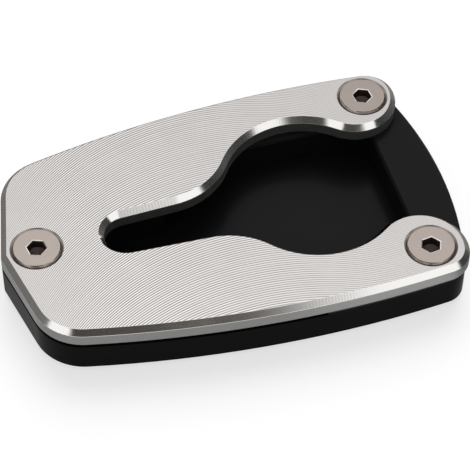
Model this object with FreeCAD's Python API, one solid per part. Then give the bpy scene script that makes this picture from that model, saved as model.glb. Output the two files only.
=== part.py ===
"""Kickstand foot enlarger: a clamp-on plate that widens the foot of a motorcycle side stand.

Five solids in one rigid stack: a black base plate with a pocket for the stand's own foot, a bevelled
top plate with a keyhole opening for the stand's leg, and three countersunk socket screws.

Frame: millimetres, +Z up through the plates, +X from the blunt nose to the curved open end, and the
origin on the underside at the middle of the part.  Far means +Y, near means -Y.
"""
import FreeCAD, Part
import math
import os

# Overall size
LENGTH = 114.6
HALF_WIDTH = 35.8
PLATE_THICKNESS = 4.5
FLOOR_THICKNESS = 2.3

# Outline shared by both plates
NOSE_ANGLE = 12.3
NOSE_RADIUS = 2.0
SHOULDER_RADIUS = 13.3
SIDE_RADIUS = 296.0
SIDE_APEX_SETBACK = 36.1

# Open end of the base
END_RADIUS = 100.0
END_CENTRE_Y = -0.9
END_CORNER_RADIUS = 6.0

# Foot pocket of the base, with a channel for the leg below the slot of the top plate
POCKET_DEPTH = 8.2
POCKET_LENGTH = 58.5
POCKET_SIDE_WALL = 14.6
POCKET_CORNER_RADIUS = 5.0
LEDGE_WIDTH = 13.1
LEG_CHANNEL_CLEARANCE = 1.4

# Places of the screws, from the nose, the open end and the long sides
NOSE_SCREW_SETBACK = 9.0
EAR_SCREW_SETBACK = 12.4
EAR_SCREW_INSET = 9.55

# Ears of the top plate, each drawn round its screw
EAR_BACKSET = 2.3
FAR_EAR_SPREAD = 0.55
NEAR_EAR_SPREAD = 0.15
FAR_EAR_RADIUS = 11.1
NEAR_EAR_RADIUS = 11.85
EAR_CORNER_RADIUS = 7.2

# Keyhole opening of the top plate, measured on its upright wall
BULB_RADIUS = 20.6
FAR_BULB_INSET = 32.85
NEAR_BULB_INSET = 35.55
SLOT_END_SETBACK = 31.55
SLOT_CENTRE_Y = -0.82
SLOT_END_RADIUS = 5.65
SLOT_FLARE = 2.2
THROAT_RADIUS = 20.0

# Broken edges
BEVEL = 1.4
BASE_TOP_CHAMFER = 0.4
BASE_BOTTOM_CHAMFER = 1.7
POCKET_CHAMFER = 0.6

# Screws: M6 countersunk with a 4 mm socket, and the seats they sink into
SCREW_DIAMETER = 6.0
HEAD_DIAMETER = 11.9
HEAD_RISE = 0.35
HEAD_EDGE_CHAMFER = 0.4
SEAT_MARGIN = 0.7
SOCKET_ACROSS_FLATS = 4.0
SOCKET_DEPTH = 2.4
SOCKET_CHAMFER = 0.2
TIP_CHAMFER = 0.7
TIP_RECESS = 1.35
THREAD_CLEARANCE = 0.05
PLATE_HOLE_CLEARANCE = 0.3

# Worked out from the sizes above
BASE_THICKNESS = FLOOR_THICKNESS + POCKET_DEPTH
TOP = BASE_THICKNESS + PLATE_THICKNESS
NOSE_X = -LENGTH / 2.0
OPEN_END_X = LENGTH / 2.0
POCKET_END_X = OPEN_END_X - LEDGE_WIDTH
POCKET_START_X = POCKET_END_X - POCKET_LENGTH
POCKET_HALF_WIDTH = HALF_WIDTH - POCKET_SIDE_WALL
SLOT_END_CENTRE = (NOSE_X + SLOT_END_SETBACK, SLOT_CENTRE_Y)
NOSE_SCREW_X = NOSE_X + NOSE_SCREW_SETBACK
EAR_SCREW_X = OPEN_END_X - EAR_SCREW_SETBACK
EAR_SCREW_Y = HALF_WIDTH - EAR_SCREW_INSET

# Name, x, y and the turn of the socket's corners in degrees
SCREWS = [
    ("screw_nose", NOSE_SCREW_X, 0.0, 30.0),
    ("screw_far_ear", EAR_SCREW_X, EAR_SCREW_Y, 30.0),
    ("screw_near_ear", EAR_SCREW_X, -EAR_SCREW_Y, 15.0),
]

# Margins of cuts and comparisons
MARGIN = 1.0
LEVEL_TOLERANCE = 1e-4
SAME_EDGE_TOLERANCE = 0.01
Z_AXIS = FreeCAD.Vector(0, 0, 1)


def towards(start, goal, distance):
    """Return the point at a distance from start on the way to goal."""
    dx = goal[0] - start[0]
    dy = goal[1] - start[1]
    scale = distance / math.hypot(dx, dy)
    return (start[0] + dx * scale, start[1] + dy * scale)


def meeting_point(first, first_radius, second, second_radius, side):
    """Return where two circles cross; side is +1 for the crossing left of first to second, else -1."""
    dx = second[0] - first[0]
    dy = second[1] - first[1]
    gap = math.hypot(dx, dy)
    along = (first_radius ** 2 - second_radius ** 2 + gap ** 2) / (2.0 * gap)
    across = side * math.sqrt(first_radius ** 2 - along ** 2)
    return (
        first[0] + (along * dx - across * dy) / gap,
        first[1] + (along * dy + across * dx) / gap,
    )


def line_meets_circle(point, direction, centre, radius, pick):
    """Return where a line meets a circle; pick is +1 for the crossing further along, else -1."""
    px = point[0] - centre[0]
    py = point[1] - centre[1]
    middle = -(px * direction[0] + py * direction[1])
    reach = math.sqrt(middle ** 2 - (px ** 2 + py ** 2 - radius ** 2))
    step = middle + pick * reach
    return (point[0] + direction[0] * step, point[1] + direction[1] * step)


def vector(point, z=0.0):
    """Lift a plan point to a vector at height z."""
    return FreeCAD.Vector(point[0], point[1], z)


def line(start, end):
    """Return a straight edge between two plan points."""
    return Part.LineSegment(vector(start), vector(end)).toShape()


def arc(start, end, centre, radius):
    """Return the short arc from start to end round a centre."""
    middle = ((start[0] + end[0]) / 2.0, (start[1] + end[1]) / 2.0)
    return Part.Arc(vector(start), vector(towards(centre, middle, radius)), vector(end)).toShape()


def flank_edges(side):
    """Return the edges from the nose to the long side, and where the long side starts.

    The side is +1 for the far half and -1 for the near half.
    """
    angle = math.radians(NOSE_ANGLE)
    direction = (math.sin(angle), side * math.cos(angle))
    inward = (math.cos(angle), -side * math.sin(angle))
    nose = (NOSE_X + NOSE_RADIUS, 0.0)
    tip = (NOSE_X, 0.0)
    flank_start = (nose[0] - inward[0] * NOSE_RADIUS, nose[1] - inward[1] * NOSE_RADIUS)
    parallel = (
        flank_start[0] + inward[0] * SHOULDER_RADIUS,
        flank_start[1] + inward[1] * SHOULDER_RADIUS,
    )
    shoulder = line_meets_circle(
        parallel, direction, side_centre(side), SIDE_RADIUS - SHOULDER_RADIUS, 1
    )
    flank_end = (
        shoulder[0] - inward[0] * SHOULDER_RADIUS,
        shoulder[1] - inward[1] * SHOULDER_RADIUS,
    )
    side_start = towards(side_centre(side), shoulder, SIDE_RADIUS)
    edges = [
        arc(tip, flank_start, nose, NOSE_RADIUS),
        line(flank_start, flank_end),
        arc(flank_end, side_start, shoulder, SHOULDER_RADIUS),
    ]
    return edges, side_start


def side_centre(side):
    """Return the centre of the long, gently curved side."""
    return (OPEN_END_X - SIDE_APEX_SETBACK, side * (HALF_WIDTH - SIDE_RADIUS))


def base_outline():
    """Return the closed outline of the base plate."""
    end_centre = (OPEN_END_X - END_RADIUS, END_CENTRE_Y)
    edges = []
    corners = []
    for side in (1, -1):
        flank, side_start = flank_edges(side)
        corner = meeting_point(
            side_centre(side), SIDE_RADIUS - END_CORNER_RADIUS,
            end_centre, END_RADIUS - END_CORNER_RADIUS, -side,
        )
        side_end = towards(side_centre(side), corner, SIDE_RADIUS)
        arc_start = towards(end_centre, corner, END_RADIUS)
        edges += flank
        edges.append(arc(side_start, side_end, side_centre(side), SIDE_RADIUS))
        edges.append(arc(side_end, arc_start, corner, END_CORNER_RADIUS))
        corners.append(arc_start)
    edges.append(arc(corners[0], corners[1], end_centre, END_RADIUS))
    return closed_face(edges)


def ear_circle(side):
    """Return the centre and the radius of an ear."""
    spread = FAR_EAR_SPREAD if side > 0 else NEAR_EAR_SPREAD
    radius = FAR_EAR_RADIUS if side > 0 else NEAR_EAR_RADIUS
    return (EAR_SCREW_X - EAR_BACKSET, side * (EAR_SCREW_Y + spread)), radius


def bulb_centre(side):
    """Return the centre of one half of the bulb, placed so that the bulb runs smoothly into the ear."""
    ear, ear_radius = ear_circle(side)
    inset = FAR_BULB_INSET if side > 0 else NEAR_BULB_INSET
    y = side * (HALF_WIDTH - inset)
    reach = math.sqrt((ear_radius + BULB_RADIUS) ** 2 - (ear[1] - y) ** 2)
    return (ear[0] - reach, y)


def ear_edges(side, side_start):
    """Return the edges from the long side round an ear to the bulb, and where the bulb starts."""
    ear, ear_radius = ear_circle(side)
    corner = meeting_point(
        side_centre(side), SIDE_RADIUS - EAR_CORNER_RADIUS,
        ear, ear_radius - EAR_CORNER_RADIUS, -side,
    )
    side_end = towards(side_centre(side), corner, SIDE_RADIUS)
    ear_start = towards(ear, corner, ear_radius)
    ear_end = towards(ear, bulb_centre(side), ear_radius)
    ear_tip = (ear[0] + ear_radius, ear[1])
    edges = [
        arc(side_start, side_end, side_centre(side), SIDE_RADIUS),
        arc(side_end, ear_start, corner, EAR_CORNER_RADIUS),
        Part.Arc(vector(ear_start), vector(ear_tip), vector(ear_end)).toShape(),
    ]
    return edges, ear_end


def throat_edges(side, bulb_start):
    """Return the edges from the ear round the bulb and along the slot, and where its end starts."""
    bulb = bulb_centre(side)
    angle = math.radians(SLOT_FLARE)
    direction = (math.cos(angle), side * math.sin(angle))
    outward = (-math.sin(angle), side * math.cos(angle))
    slot_start = (
        SLOT_END_CENTRE[0] + outward[0] * SLOT_END_RADIUS,
        SLOT_END_CENTRE[1] + outward[1] * SLOT_END_RADIUS,
    )
    parallel = (
        slot_start[0] + outward[0] * THROAT_RADIUS,
        slot_start[1] + outward[1] * THROAT_RADIUS,
    )
    throat = line_meets_circle(parallel, direction, bulb, BULB_RADIUS + THROAT_RADIUS, -1)
    slot_end = (throat[0] - outward[0] * THROAT_RADIUS, throat[1] - outward[1] * THROAT_RADIUS)
    bulb_end = towards(bulb, throat, BULB_RADIUS)
    bulb_side = (bulb[0], bulb[1] + side * BULB_RADIUS)
    edges = [
        Part.Arc(vector(bulb_start), vector(bulb_side), vector(bulb_end)).toShape(),
        arc(bulb_end, slot_end, throat, THROAT_RADIUS),
        line(slot_end, slot_start),
    ]
    return edges, slot_start


def plate_outline():
    """Return the closed outline of the top plate with its open-ended keyhole."""
    edges = []
    slot_starts = []
    for side in (1, -1):
        flank, side_start = flank_edges(side)
        ear_part, bulb_start = ear_edges(side, side_start)
        throat_part, slot_start = throat_edges(side, bulb_start)
        edges += flank + ear_part + throat_part
        slot_starts.append(slot_start)
    slot_tip = (SLOT_END_CENTRE[0] - SLOT_END_RADIUS, SLOT_END_CENTRE[1])
    edges.append(
        Part.Arc(vector(slot_starts[0]), vector(slot_tip), vector(slot_starts[1])).toShape()
    )
    return closed_face(edges)


def closed_face(edges):
    """Sort loose edges into one closed wire and fill it."""
    ordered = Part.__sortEdges__(edges)
    return Part.Face(Part.Wire(ordered))


def level_edges(shape, z, pick=None):
    """Return the edges of a shape that lie flat at height z, all of them or those that pick accepts."""
    found = []
    for edge in shape.Edges:
        box = edge.BoundBox
        if abs(box.ZMin - z) < LEVEL_TOLERANCE and abs(box.ZMax - z) < LEVEL_TOLERANCE:
            if pick is None or pick(edge):
                found.append(edge)
    return found


def pocket_tool():
    """Return the solid that is milled out of the base: a foot pocket and a channel for the leg."""
    height = POCKET_DEPTH + MARGIN
    pocket = Part.makeBox(
        POCKET_LENGTH, 2.0 * POCKET_HALF_WIDTH, height,
        FreeCAD.Vector(POCKET_START_X, -POCKET_HALF_WIDTH, FLOOR_THICKNESS),
    )
    upright = [edge for edge in pocket.Edges if edge.BoundBox.ZLength > height / 2.0]
    pocket = pocket.makeFillet(POCKET_CORNER_RADIUS, upright)
    radius = SLOT_END_RADIUS + LEG_CHANNEL_CLEARANCE
    start = vector(SLOT_END_CENTRE, FLOOR_THICKNESS)
    channel_end = Part.makeCylinder(radius, height, start)
    channel = Part.makeBox(
        POCKET_START_X + POCKET_CORNER_RADIUS - SLOT_END_CENTRE[0], 2.0 * radius, height,
        start - FreeCAD.Vector(0, radius, 0),
    )
    return pocket.fuse([channel_end, channel]).removeSplitter()


def build_base():
    """Return the base plate with its pocket, broken edges and three tapped holes."""
    base = base_outline().extrude(FreeCAD.Vector(0, 0, BASE_THICKNESS))
    base = base.makeChamfer(BASE_TOP_CHAMFER, level_edges(base, BASE_THICKNESS))
    base = base.makeChamfer(BASE_BOTTOM_CHAMFER, level_edges(base, 0.0))
    before = [edge.CenterOfMass for edge in level_edges(base, BASE_THICKNESS)]

    def is_new(edge):
        return all((edge.CenterOfMass - point).Length > SAME_EDGE_TOLERANCE for point in before)

    base = base.cut(pocket_tool())
    base = base.makeChamfer(POCKET_CHAMFER, level_edges(base, BASE_THICKNESS, is_new))
    radius = SCREW_DIAMETER / 2.0 + THREAD_CLEARANCE
    for _, x, y, _ in SCREWS:
        start = FreeCAD.Vector(x, y, -MARGIN)
        base = base.cut(Part.makeCylinder(radius, BASE_THICKNESS + 2.0 * MARGIN, start))
    return base


def build_plate():
    """Return the top plate with its bevelled edges and three countersunk holes."""
    plate = plate_outline().extrude(FreeCAD.Vector(0, 0, PLATE_THICKNESS))
    plate.translate(FreeCAD.Vector(0, 0, BASE_THICKNESS))
    plate = plate.makeChamfer(BEVEL, level_edges(plate, TOP))
    hole_radius = SCREW_DIAMETER / 2.0 + PLATE_HOLE_CLEARANCE
    seat_radius = HEAD_DIAMETER / 2.0 + SEAT_MARGIN
    seat_bottom = TOP - (seat_radius - hole_radius)
    for _, x, y, _ in SCREWS:
        hole_start = FreeCAD.Vector(x, y, BASE_THICKNESS - MARGIN)
        hole = Part.makeCylinder(hole_radius, PLATE_THICKNESS + 2.0 * MARGIN, hole_start)
        seat = Part.makeCone(
            hole_radius, seat_radius + MARGIN, TOP + MARGIN - seat_bottom,
            FreeCAD.Vector(x, y, seat_bottom),
        )
        plate = plate.cut(hole).cut(seat)
    return plate


def hexagon(across_flats, turn, z):
    """Return a closed hexagonal wire at height z, with a corner at the given turn in degrees."""
    corner = across_flats / 2.0 / math.cos(math.radians(30))
    points = []
    for index in range(7):
        angle = math.radians(turn + 60 * index)
        points.append(FreeCAD.Vector(corner * math.cos(angle), corner * math.sin(angle), z))
    return Part.makePolygon(points)


def build_screw(x, y, turn):
    """Return one countersunk screw with a chamfered hexagon socket, seated at x, y."""
    radius = SCREW_DIAMETER / 2.0
    head_radius = HEAD_DIAMETER / 2.0
    head_top = TOP + HEAD_RISE
    seat_top = TOP - SEAT_MARGIN
    neck = seat_top - (head_radius - radius)
    profile = [
        (0.0, TIP_RECESS),
        (radius - TIP_CHAMFER, TIP_RECESS),
        (radius, TIP_RECESS + TIP_CHAMFER),
        (radius, neck),
        (head_radius, seat_top),
        (head_radius, head_top - HEAD_EDGE_CHAMFER),
        (head_radius - HEAD_EDGE_CHAMFER, head_top),
        (0.0, head_top),
    ]
    points = [FreeCAD.Vector(r, 0, z) for r, z in profile]
    section = Part.Face(Part.makePolygon(points + points[:1]))
    screw = section.revolve(FreeCAD.Vector(0, 0, 0), Z_AXIS, 360)
    socket = Part.Face(hexagon(SOCKET_ACROSS_FLATS, turn, head_top - SOCKET_DEPTH)).extrude(
        FreeCAD.Vector(0, 0, SOCKET_DEPTH + MARGIN)
    )
    mouth = Part.makeLoft(
        [
            hexagon(SOCKET_ACROSS_FLATS, turn, head_top - SOCKET_CHAMFER),
            hexagon(SOCKET_ACROSS_FLATS + 2.0 * SOCKET_CHAMFER, turn, head_top),
        ],
        True, True,
    )
    drill_depth = (SOCKET_ACROSS_FLATS / 2.0) * math.tan(math.radians(30))
    drill = Part.makeCone(
        0.0, SOCKET_ACROSS_FLATS / 2.0, drill_depth,
        FreeCAD.Vector(0, 0, head_top - SOCKET_DEPTH - drill_depth),
    )
    screw = screw.cut(socket).cut(mouth).cut(drill)
    screw.translate(FreeCAD.Vector(x, y, 0))
    return screw


def main():
    """Build every solid and write one STEP file for each."""
    os.makedirs("parts", exist_ok=True)
    solids = {"base_plate": build_base(), "top_plate": build_plate()}
    for name, x, y, turn in SCREWS:
        solids[name] = build_screw(x, y, turn)
    for name, shape in solids.items():
        solid = shape.Solids[0]
        solid.exportStep("parts/" + name + ".step")
        print(name, "solids", len(shape.Solids), "valid", solid.isValid(), "volume", round(solid.Volume, 1))


main()
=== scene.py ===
"""Looks of a kickstand foot enlarger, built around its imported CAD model.

Every length is in metres, in the frame of the CAD model: +X runs from the blunt nose to the
curved open end, +Y to the far long side and +Z up through both plates.
"""

import enum
import logging
import math
from dataclasses import dataclass
from dataclasses import field
from typing import Callable
from typing import ClassVar

import bmesh
import bpy
from mathutils import Matrix
from mathutils import Vector


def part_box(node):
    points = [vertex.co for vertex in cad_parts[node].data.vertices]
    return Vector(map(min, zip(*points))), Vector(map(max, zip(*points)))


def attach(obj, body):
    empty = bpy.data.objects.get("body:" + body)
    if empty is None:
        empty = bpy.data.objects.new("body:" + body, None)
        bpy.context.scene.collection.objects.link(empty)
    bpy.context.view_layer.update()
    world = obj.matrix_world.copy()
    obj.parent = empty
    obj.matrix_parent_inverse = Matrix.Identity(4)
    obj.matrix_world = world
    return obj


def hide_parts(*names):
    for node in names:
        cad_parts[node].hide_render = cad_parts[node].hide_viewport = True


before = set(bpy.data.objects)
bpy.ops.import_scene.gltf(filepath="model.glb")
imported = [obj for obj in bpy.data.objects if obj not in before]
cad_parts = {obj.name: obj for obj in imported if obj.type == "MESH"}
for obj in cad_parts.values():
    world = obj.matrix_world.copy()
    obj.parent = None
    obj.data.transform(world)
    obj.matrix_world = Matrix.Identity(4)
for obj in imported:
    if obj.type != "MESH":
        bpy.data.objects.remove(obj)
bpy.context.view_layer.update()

LOG = logging.getLogger("kickstand_foot")
MM = 0.001
WHITE = (1.0, 1.0, 1.0)
ORIGIN = (0.0, 0.0, 0.0)
UNSCALED = (1.0, 1.0, 1.0)
FULL_TURN = 2.0 * math.pi
SCREW_TURNS = {"screw_nose": 40.0, "screw_far_ear": 36.0, "screw_near_ear": 8.0}
Colour = tuple[float, float, float]
Triple = tuple[float, float, float]
Socket = bpy.types.NodeSocket
Trim = Callable[[Socket, Socket], Socket]
Detail = tuple[Socket, Socket, Socket]


def screw_axis(node: str) -> Vector:
    """Return the point at height 0 on the axis of a screw's CAD node."""
    low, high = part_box(node)
    return Vector(((low[0] + high[0]) / 2.0, (low[1] + high[1]) / 2.0, 0.0))


def faces_away(normal: Vector, point: Vector) -> bool:
    """Tell whether a surface at a point faces away from the middle of the part, seen from above."""
    return normal.x * point.x + normal.y * point.y > 0.0


def stand(name: str, data: bpy.types.ID) -> bpy.types.Object:
    """Put an object into the scene.

    Args:
        name: the object's name.
        data: its mesh, camera or lamp.

    Returns:
        The object.
    """
    piece = bpy.data.objects.new(name, data)
    bpy.context.scene.collection.objects.link(piece)
    return piece


class Slot(enum.Enum):
    """Names of the record's material slots; each plate holds one, and its finishes are made here."""

    BLACK = "black_anodised"
    SILVER = "machined_silver"
    STEEL = "screw_steel"


class Region(enum.Enum):
    """Kinds of surface on a plate, told apart by where a face lies and which way it looks."""

    UPPER_FACE = enum.auto()
    BEVEL = enum.auto()
    WALL = enum.auto()
    UNDERSIDE = enum.auto()
    SEAT = enum.auto()
    JOINT_SHADE = enum.auto()
    LIP = enum.auto()


class Sheet:
    """A node tree under construction, with short calls that add and join its nodes."""

    def __init__(self, tree: bpy.types.NodeTree) -> None:
        """Start on a shader tree or a geometry tree."""
        self.tree = tree

    def add(
        self, kind: str, inputs: dict[str | int, object] | None = None, **settings: object
    ) -> bpy.types.Node:
        """Add one node, set its properties and feed its inputs.

        Args:
            kind: the node's type name.
            inputs: what each named or numbered input gets: a socket or a plain value.
            settings: property names and values.

        Returns:
            The new node.
        """
        node = self.tree.nodes.new(kind)
        for name, value in settings.items():
            setattr(node, name, value)
        for key, source in (inputs or {}).items():
            self.feed(node.inputs[key], source)
        return node

    def feed(self, target: Socket, source: object) -> None:
        """Join a source to an input socket, or set the socket to a plain value.

        Args:
            target: the input socket.
            source: an output socket, a number, a tuple or a name.
        """
        if isinstance(source, bpy.types.NodeSocket):
            self.tree.links.new(source, target)
        else:
            target.default_value = source

    def maths(self, operation: str, *values: object) -> Socket:
        """Add a Math node that works on sockets or numbers, and return its output."""
        return self.add("ShaderNodeMath", dict(enumerate(values)), operation=operation).outputs[0]

    def fold(self, operation: str, first: object, *others: object) -> Socket:
        """Join any number of values by one operation.

        Args:
            operation: what joins two of them.
            first: the value that it starts from.
            others: the values that are taken in one by one.

        Returns:
            The result's socket.
        """
        for other in others:
            first = self.maths(operation, first, other)
        return first

    def weigh(self, *terms: tuple[Socket, float]) -> Socket:
        """Add up values, each times its weight.

        Args:
            terms: pairs of a value and its weight.

        Returns:
            The sum's socket.
        """
        total = self.maths("MULTIPLY", *terms[0])
        for value, weight in terms[1:]:
            total = self.maths("MULTIPLY_ADD", value, weight, total)
        return total

    def clamp(self, value: object, low: object, high: object) -> Socket:
        """Keep a value between two bounds, of which the upper one wins."""
        return self.maths("MINIMUM", self.maths("MAXIMUM", value, low), high)

    def parts(self, vector: Socket) -> tuple[Socket, Socket, Socket]:
        """Return the sockets of a vector's X, Y and Z."""
        split = self.add("ShaderNodeSeparateXYZ", {"Vector": vector})
        return split.outputs["X"], split.outputs["Y"], split.outputs["Z"]

    def blend(self, factor: object, low: Colour, high: Colour) -> Socket:
        """Mix two colours: the first where the factor is 0, the second where it is 1."""
        inputs = {0: factor, 6: (*low, 1.0), 7: (*high, 1.0)}
        return self.add("ShaderNodeMix", inputs, data_type="RGBA").outputs[2]

    def spread(
        self, value: object, low: float, high: float, start: float = 0.0, end: float = 1.0,
        ease: str = "LINEAR",
    ) -> Socket:
        """Turn one range of a value into another, and hold the result past both ends.

        Args:
            value: the value's socket.
            low: result at the start.
            high: result at the end.
            start: value at the start.
            end: value at the end.
            ease: how the result runs between them.

        Returns:
            The result's socket.
        """
        node = self.add("ShaderNodeMapRange", {
            "Value": value,
            "From Min": start,
            "From Max": end,
            "To Min": low,
            "To Max": high,
        }, interpolation_type=ease)
        return node.outputs["Result"]


class ShapeTree:
    """A geometry tree with named inputs, which is evaluated to plain meshes."""

    WELD: ClassVar[float] = 0.002 * MM
    CREASE: ClassVar[float] = math.radians(24.0)

    def __init__(self, name: str) -> None:
        """Start an empty tree.

        Args:
            name: the tree's name.
        """
        self.group = bpy.data.node_groups.new(name, "GeometryNodeTree")
        for way in ("INPUT", "OUTPUT"):
            self.group.interface.new_socket("Mesh", in_out=way, socket_type="NodeSocketGeometry")
        self.sheet = Sheet(self.group)
        self.entry = self.sheet.add("NodeGroupInput")
        self.sockets: dict[str, str] = {}

    def take(self, name: str, kind: str = "Float") -> Socket:
        """Add a named input.

        Args:
            name: the input's name.
            kind: Float, Vector or Material.

        Returns:
            The socket that carries the input's value.
        """
        made = self.group.interface.new_socket(
            name, in_out="INPUT", socket_type="NodeSocket" + kind
        )
        self.sockets[name] = made.identifier
        return self.entry.outputs[name]

    def ring(self, around: int, foot: Socket, head: Socket, low: Socket, high: Socket) -> Socket:
        """Add an open cone or cylinder round the axis.

        Args:
            around: how many sides it has.
            foot: radius at its foot.
            head: radius at its head.
            low: height of its foot.
            high: height of its head.

        Returns:
            The mesh's socket.
        """
        cone = self.sheet.add("GeometryNodeMeshCone", {
            "Vertices": around,
            "Radius Bottom": foot,
            "Radius Top": head,
            "Depth": self.sheet.maths("SUBTRACT", high, low),
        }, fill_type="NONE")
        return self.raise_to(cone.outputs["Mesh"], low)

    def disc(self, around: int, radius: Socket, height: Socket, upwards: bool) -> Socket:
        """Add a flat disc across the axis.

        Args:
            around: how many corners it has.
            radius: its radius.
            height: how high it lies.
            upwards: whether it faces up rather than down.

        Returns:
            The mesh's socket.
        """
        inputs = {"Vertices": around, "Radius": radius}
        shape = self.sheet.add("GeometryNodeMeshCircle", inputs, fill_type="NGON").outputs["Mesh"]
        if not upwards:
            shape = self.turn_inside_out(shape)
        return self.raise_to(shape, height)

    def plug(self, sides: int, foot: Socket, head: Socket, low: Socket, high: Socket) -> Socket:
        """Add a closed cone or prism round the axis.

        Args:
            sides: how many sides it has.
            foot: radius at its foot.
            head: radius at its head.
            low: height of its foot.
            high: height of its head.

        Returns:
            The mesh's socket.
        """
        return self.weld(
            self.disc(sides, foot, low, False),
            self.ring(sides, foot, head, low, high),
            self.disc(sides, head, high, True),
        )

    def turn_inside_out(self, shape: Socket) -> Socket:
        """Flip a mesh's faces."""
        return self.sheet.add("GeometryNodeFlipFaces", {"Mesh": shape}).outputs["Mesh"]

    def raise_to(self, shape: Socket, height: Socket) -> Socket:
        """Lift a mesh to a height."""
        lift = self.sheet.add("ShaderNodeCombineXYZ", {"Z": height})
        return self.move(shape, {"Translation": lift.outputs["Vector"]})

    def turn(self, shape: Socket, angle: Socket) -> Socket:
        """Turn a mesh about the axis by an angle in radians."""
        angles = self.sheet.add("ShaderNodeCombineXYZ", {"Z": angle})
        return self.move(shape, {"Rotation": angles.outputs["Vector"]})

    def move(self, shape: Socket, inputs: dict[str, Socket]) -> Socket:
        """Move or turn a mesh by what the inputs say."""
        node = self.sheet.add("GeometryNodeTransform", {"Geometry": shape, **inputs})
        return node.outputs["Geometry"]

    def weld(self, *shapes: Socket) -> Socket:
        """Join meshes and merge the points that they share.

        Args:
            shapes: the meshes.

        Returns:
            The joined mesh's socket.
        """
        join = self.sheet.add("GeometryNodeJoinGeometry")
        for shape in shapes:
            self.sheet.feed(join.inputs["Geometry"], shape)
        inputs = {"Geometry": join.outputs["Geometry"], "Distance": self.WELD}
        return self.sheet.add("GeometryNodeMergeByDistance", inputs).outputs["Geometry"]

    def place(self) -> Socket:
        """Return the socket of a point's place."""
        return self.sheet.add("GeometryNodeInputPosition").outputs["Position"]

    def realise(self, shape: Socket) -> Socket:
        """Turn instances into real geometry."""
        real = self.sheet.add("GeometryNodeRealizeInstances", {"Geometry": shape})
        return real.outputs["Geometry"]

    def dress(self, shape: Socket, material: Socket, chosen: object = True) -> Socket:
        """Put a material on a mesh, or on those of its faces for which chosen is true."""
        inputs = {"Geometry": shape, "Material": material, "Selection": chosen}
        return self.sheet.add("GeometryNodeSetMaterial", inputs).outputs["Geometry"]

    def finish(self, shape: Socket) -> None:
        """Lead a shape out of the tree."""
        self.sheet.add("NodeGroupOutput", {0: shape})

    def evaluate(
        self, name: str, values: dict[str, object], points: list[Vector] | None = None
    ) -> bpy.types.Object:
        """Run the tree and keep the result as a plain object with smooth faces and sharp edges.

        Args:
            name: the new object's name.
            values: what each named input is set to.
            points: places that the tree copies its shape to, where it reads them.

        Returns:
            The object, with its mesh in place and no modifier.
        """
        seed = bpy.data.meshes.new(name + "_points")
        seed.from_pydata(points or [], [], [])
        draft = stand(name + "_draft", seed)
        modifier = draft.modifiers.new("tree", "NODES")
        modifier.node_group = self.group
        for label, value in values.items():
            modifier[self.sockets[label]] = value
        graph = bpy.context.evaluated_depsgraph_get()
        mesh = bpy.data.meshes.new_from_object(
            draft.evaluated_get(graph), preserve_all_data_layers=True, depsgraph=graph
        )
        draft.modifiers.remove(modifier)
        bpy.data.objects.remove(draft)
        bpy.data.meshes.remove(seed)
        mesh.name = name + "_shape"
        mesh.shade_smooth()
        mesh.set_sharp_from_angle(angle=self.CREASE)
        return stand(name, mesh)


class Coat:
    """A material with one Principled shader, ready for its detail."""

    def __init__(self, name: str, metallic: float, roughness: float, level: float) -> None:
        """Make the material and its shader.

        Args:
            name: the material's name.
            metallic: 1 for bare metal, 0 for a dyed surface.
            roughness: the shader's roughness where no node drives it.
            level: the shader's specular level.
        """
        self.material = bpy.data.materials.new(name)
        self.material.use_nodes = True
        self.sheet = Sheet(self.material.node_tree)
        self.shader = self.material.node_tree.nodes["Principled BSDF"]
        self.feed("Metallic", metallic)
        self.feed("Roughness", roughness)
        self.feed("Specular IOR Level", level)

    def feed(self, name: str, source: object) -> None:
        """Feed one of the shader's inputs."""
        self.sheet.feed(self.shader.inputs[name], source)

    def place(self, centre: Triple = ORIGIN, scale: Triple = UNSCALED) -> Socket:
        """Return the piece's own coordinates, scaled and counted from a centre.

        Args:
            centre: the point that becomes the origin.
            scale: how much each coordinate is stretched.

        Returns:
            The mapped vector's socket.
        """
        mapping = self.sheet.add("ShaderNodeMapping", {
            "Vector": self.sheet.add("ShaderNodeTexCoord").outputs["Object"],
            "Location": tuple(-value for value in centre),
            "Scale": scale,
        })
        return mapping.outputs["Vector"]

    def noise(
        self, spots: float, layers: float = 2.0, centre: Triple = ORIGIN, scale: Triple = UNSCALED
    ) -> Socket:
        """Add a noise that runs from 0 to 1.

        Args:
            spots: spots per metre.
            layers: how many finer layers it has.
            centre: the point that becomes its origin.
            scale: how much each coordinate is stretched before it is read.

        Returns:
            The noise's socket.
        """
        node = self.sheet.add("ShaderNodeTexNoise", {
            "Vector": self.place(centre, scale),
            "Scale": spots,
            "Detail": layers,
        })
        return node.outputs["Fac"]

    def relief(self, height: Socket, depth: float) -> None:
        """Bump the surface by a height from 0 to 1, where 1 stands for the depth in metres."""
        bump = self.sheet.add("ShaderNodeBump", {"Strength": 1.0, "Distance": depth, "Height": height})
        self.feed("Normal", bump.outputs["Normal"])


@dataclass(frozen=True)
class Finish:
    """What every finish of the part has.

    Its tone runs from dark to light. The two values of blur are added to its roughness where the
    marks blur it least and most. The depth is how high a mark stands.
    """

    name: str
    light: Colour
    dark: Colour
    roughness: float
    blur: tuple[float, float]
    depth: float
    metallic: float = 1.0
    level: float = 0.5

    def detail(self, coat: Coat) -> Detail:
        """Lay out the marks of the finish.

        Args:
            coat: the material that they are drawn on.

        Returns:
            The sockets of its tone from dark to light, of its blur and of its height.
        """
        raise NotImplementedError

    def make(self) -> bpy.types.Material:
        """Build the material.

        Returns:
            The finished material.
        """
        coat = Coat(self.name, self.metallic, self.roughness, self.level)
        tone, blur, height = self.detail(coat)
        least, most = (self.roughness + change for change in self.blur)
        coat.feed("Base Color", coat.sheet.blend(tone, self.dark, self.light))
        coat.feed("Roughness", coat.sheet.spread(blur, least, most))
        coat.relief(height, self.depth)
        return coat.material


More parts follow.
